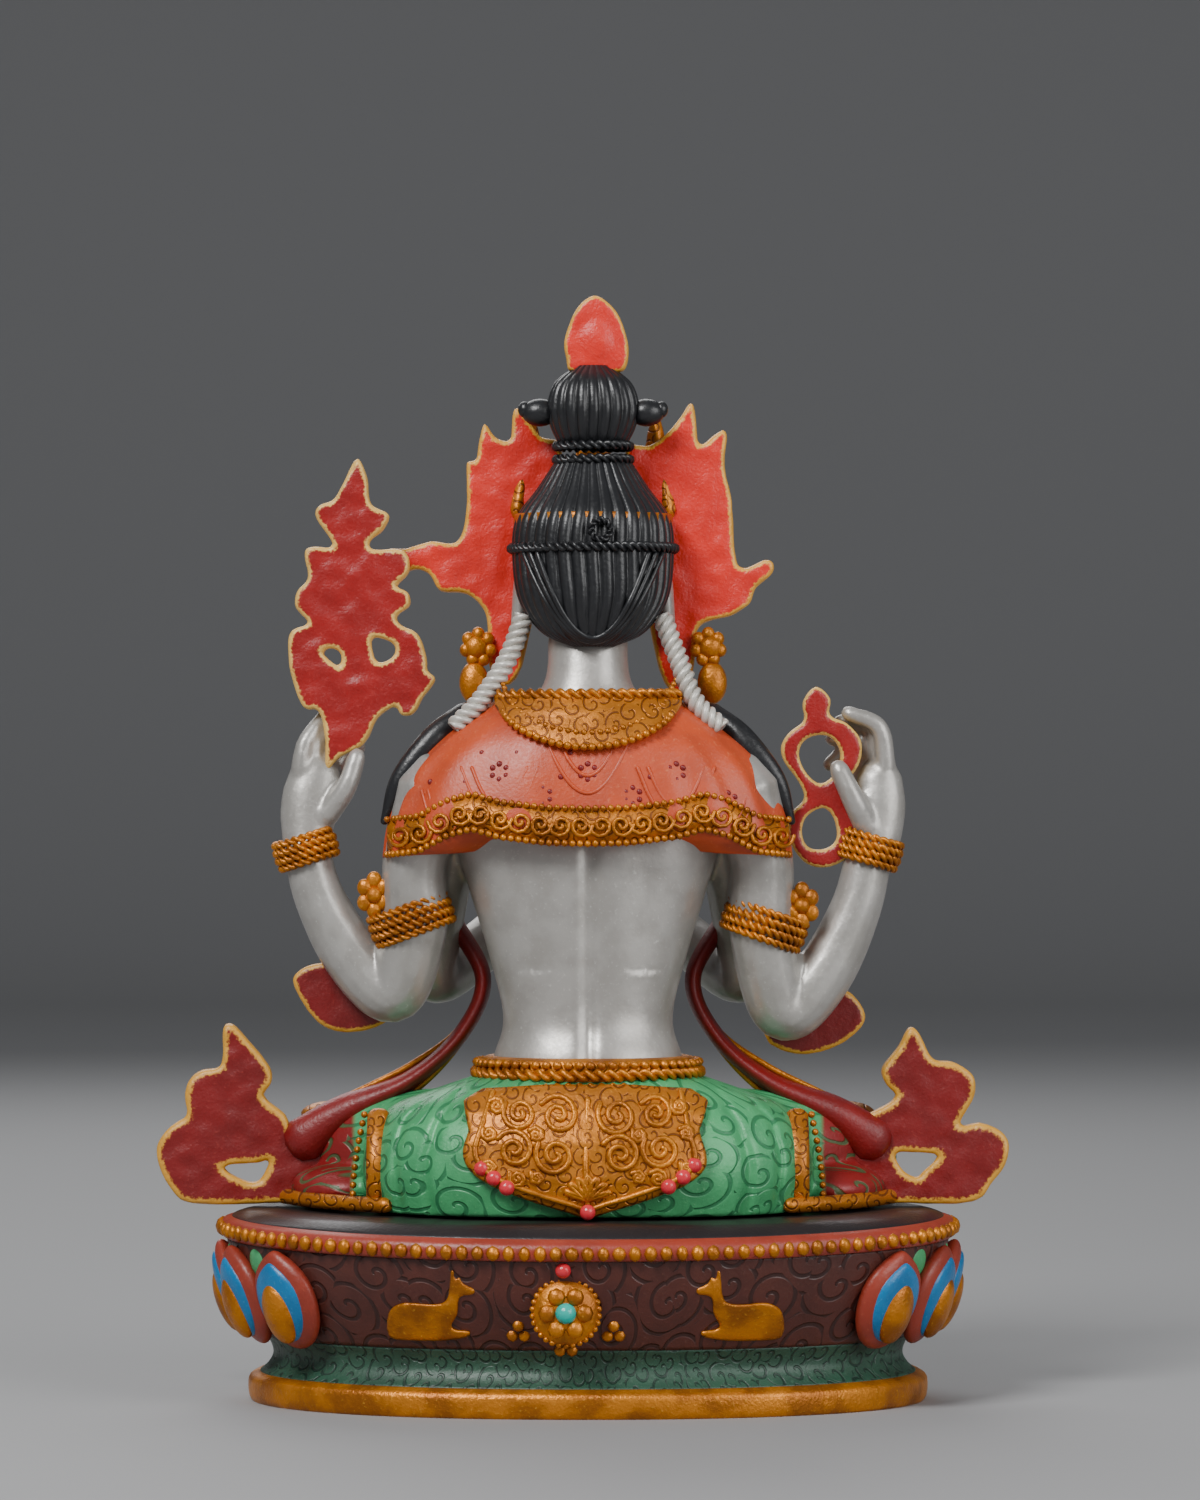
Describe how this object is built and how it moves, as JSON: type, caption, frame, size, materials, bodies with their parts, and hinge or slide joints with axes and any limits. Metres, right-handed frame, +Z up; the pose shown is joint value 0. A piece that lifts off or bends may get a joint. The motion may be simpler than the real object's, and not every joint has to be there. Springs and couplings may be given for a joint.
{
  "type": "avalokiteshvara statue",
  "caption": "Painted cast statuette of a seated four-armed bodhisattva with crown, lotus, rosary and flower-ended scarves on an oval lotus seat.",
  "frame": {"origin": "centre of the seat's flat underside", "axes": "+Z up; the figure faces -Y, so its left side is +X and the pictured back is +Y"},
  "size_m": [0.1674, 0.1044, 0.2157],
  "materials": {
    "seat_paint": "cast resin painted red-brown, gold and black, satin",
    "figure_paint": "cast resin painted silver-white, gold, green and red, satin and worn",
    "coral": "small glossy coral-red cabochon",
    "turquoise": "small glossy turquoise cabochon"
  },
  "bodies": {
    "root": {"lotus_seat": "seat_paint", "figure": "figure_paint", "coral_bead_apron_1": "coral", "coral_bead_apron_2": "coral", "coral_bead_apron_3": "coral", "coral_bead_apron_4": "coral", "coral_bead_apron_5": "coral", "coral_bead_apron_6": "coral", "coral_bead_apron_7": "coral", "coral_bead_medallion": "coral", "turquoise_medallion": "turquoise"}
  },
  "joints": []
}
